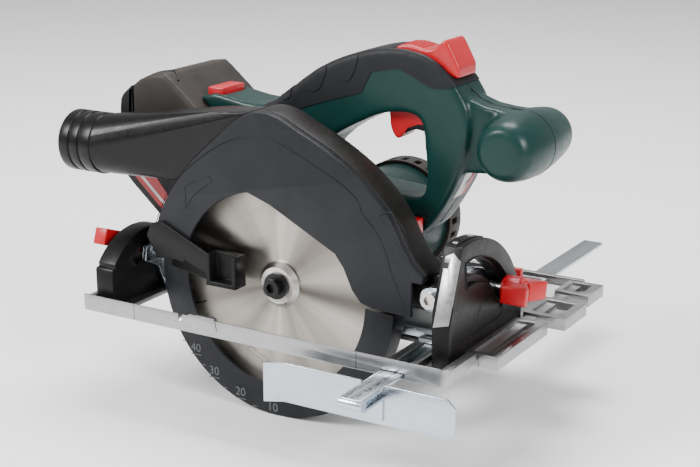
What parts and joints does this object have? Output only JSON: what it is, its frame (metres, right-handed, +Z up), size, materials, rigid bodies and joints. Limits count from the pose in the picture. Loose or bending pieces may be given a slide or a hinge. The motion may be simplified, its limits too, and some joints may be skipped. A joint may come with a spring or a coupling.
{
  "type": "cordless circular saw",
  "caption": "Cordless circular saw with bevel base, plunge depth, spring-loaded lower guard, dust nozzle, parallel guide and slide-on battery.",
  "frame": {"origin": "centre of the sole's rim rectangle, on the sole's underside", "axes": "+X is the cutting direction, +Y points to the motor side along the spindle, +Z is up, away from the workpiece"},
  "size_m": [0.3237, 0.356, 0.2455],
  "materials": {
    "cast_aluminium": "shot-blasted die-cast aluminium, satin",
    "zinc_steel": "zinc-plated sheet steel, blue-white passivated",
    "black_plastic": "fine-textured glass-filled nylon",
    "guard_black": "painted magnesium with a fine texture",
    "cover_grey": "dark blue-grey moulded nylon",
    "gear_grey": "dark painted aluminium casting",
    "housing_green": "dark green moulded nylon, satin",
    "cap_brown": "grey-brown moulded nylon",
    "grip_rubber": "soft thermoplastic elastomer",
    "control_red": "red moulded plastic, satin gloss",
    "blade_steel": "ground tool steel with radial grain",
    "bright_steel": "turned bright steel",
    "black_steel": "black oxide steel",
    "copper": "copper windings and laminations",
    "scale_white": "printed scale plate",
    "board_green": "circuit board",
    "cell_wrap": "shrink-wrapped cells",
    "battery_grey": "dark grey moulded plastic",
    "battery_brown": "grey-brown moulded plastic"
  },
  "bodies": {
    "base": {"base_plate": "cast_aluminium", "front_quadrant": "black_plastic", "rear_quadrant": "black_plastic", "quadrant_screws": "bright_steel", "bevel_scale": "black_plastic", "cut_scale": "scale_white"},
    "guide": {"guide_arm": "zinc_steel", "guide_fence": "zinc_steel"},
    "guide_clamp": {"guide_knob": "control_red"},
    "carriage": {"front_bracket": "zinc_steel", "rear_bracket": "zinc_steel", "carriage_rail": "zinc_steel", "depth_arc": "zinc_steel", "depth_pivot": "bright_steel"},
    "front_clamp": {"front_wing_knob": "control_red", "front_clamp_bolt": "bright_steel"},
    "rear_clamp": {"rear_clamp_lever": "control_red", "rear_clamp_bolt": "bright_steel"},
    "head": {"upper_guard": "guard_black", "guard_cover": "cover_grey", "dust_nozzle": "black_plastic", "gear_case": "gear_grey", "motor_housing": "housing_green", "motor_end_cap": "cap_brown", "handle_left": "housing_green", "handle_right": "housing_green", "grip_cover": "grip_rubber", "grip_pads": "grip_rubber", "stator": "black_steel", "rotor_bearings": "bright_steel", "gear_bearings": "bright_steel", "switch_module": "black_plastic", "control_board": "board_green", "battery_terminals": "black_plastic", "guard_screws": "bright_steel", "handle_screws": "black_steel", "cap_screws": "black_steel", "guard_retainer": "bright_steel", "return_spring": "bright_steel", "depth_clamp_bolt": "bright_steel"},
    "depth_clamp": {"depth_lever": "black_plastic"},
    "blade_set": {"saw_blade": "blade_steel", "inner_flange": "bright_steel", "outer_flange": "bright_steel", "blade_bolt": "black_steel", "spindle": "bright_steel", "spindle_gear": "bright_steel"},
    "idler": {"idler_gear": "bright_steel"},
    "rotor": {"rotor_shaft": "bright_steel", "armature": "copper", "cooling_fan": "black_plastic"},
    "swing_guard": {"lower_guard": "cover_grey", "retract_lever": "black_plastic"},
    "trigger": {"trigger": "control_red"},
    "lock_off": {"lock_off": "control_red"},
    "spindle_lock": {"spindle_lock": "control_red"},
    "battery": {"battery_case": "battery_grey", "battery_cover": "battery_brown", "battery_cells": "cell_wrap"},
    "battery_latch": {"battery_latch": "control_red"}
  },
  "joints": [
    {"name": "guide_slide", "type": "slide", "parent": "base", "child": "guide", "axis": [0, 1, 0], "range_m": [-0.2, 0.019]},
    {"name": "guide_clamp_turn", "type": "hinge", "parent": "base", "child": "guide_clamp", "pos_m": [0.0978, 0.046, 0.014], "axis": [0, 0, 1], "range_deg": [-90, 90]},
    {"name": "bevel", "type": "hinge", "parent": "base", "child": "carriage", "pos_m": [-0.01, -0.054, 0], "axis": [1, 0, 0], "range_deg": [0, 47]},
    {"name": "front_clamp_turn", "type": "hinge", "parent": "carriage", "child": "front_clamp", "pos_m": [0.124, -0.00813, 0.03212], "axis": [1, 0, 0], "range_deg": [-90, 90]},
    {"name": "rear_clamp_turn", "type": "hinge", "parent": "carriage", "child": "rear_clamp", "pos_m": [-0.129, -0.04005, 0.02991], "axis": [1, 0, 0], "range_deg": [-40, 0]},
    {"name": "plunge", "type": "hinge", "parent": "carriage", "child": "head", "pos_m": [0.104, -0.054, 0.0385], "axis": [0, 1, 0], "range_deg": [0, 29.5]},
    {"name": "depth_clamp_turn", "type": "hinge", "parent": "head", "child": "depth_clamp", "pos_m": [-0.04543, -0.04, 0.05157], "axis": [0, 1, 0], "range_deg": [0, 60]},
    {"name": "blade_spin", "type": "hinge", "parent": "head", "child": "blade_set", "pos_m": [-0.01, -0.054, 0.0255], "axis": [0, 1, 0], "continuous": true},
    {"name": "idler_spin", "type": "hinge", "parent": "head", "child": "idler", "pos_m": [-0.005, -0.029, 0.049], "axis": [0, 1, 0], "continuous": true},
    {"name": "rotor_spin", "type": "hinge", "parent": "head", "child": "rotor", "pos_m": [0.016, 0.006, 0.0485], "axis": [0, 1, 0], "continuous": true},
    {"name": "guard_swing", "type": "hinge", "parent": "head", "child": "swing_guard", "pos_m": [-0.01, -0.0486, 0.0255], "axis": [0, 1, 0], "range_deg": [0, 105], "stiffness_Nm_per_rad": 0.12, "springref_deg": -45.84},
    {"name": "trigger_pull", "type": "slide", "parent": "head", "child": "trigger", "axis": [0, 0, 1], "range_m": [0, 0.006], "stiffness_N_per_m": 500, "springref_m": -0.002},
    {"name": "lock_off_slide", "type": "slide", "parent": "head", "child": "lock_off", "axis": [0.9659, 0, -0.2588], "range_m": [0, 0.005], "stiffness_N_per_m": 400, "springref_m": -0.002},
    {"name": "spindle_lock_press", "type": "slide", "parent": "head", "child": "spindle_lock", "axis": [0, 1, 0], "range_m": [0, 0.003], "stiffness_N_per_m": 600, "springref_m": -0.002},
    {"name": "battery_slide", "type": "slide", "parent": "head", "child": "battery", "axis": [-0.7694, 0, 0.6388], "range_m": [0, 0.08]},
    {"name": "battery_latch_press", "type": "slide", "parent": "head", "child": "battery_latch", "axis": [0, 0, -1], "range_m": [0, 0.0025], "stiffness_N_per_m": 600, "springref_m": -0.002}
  ],
  "couplings": [
    {"joint": "idler_spin", "follows": "blade_spin", "ratio": -2},
    {"joint": "rotor_spin", "follows": "blade_spin", "ratio": 4}
  ]
}
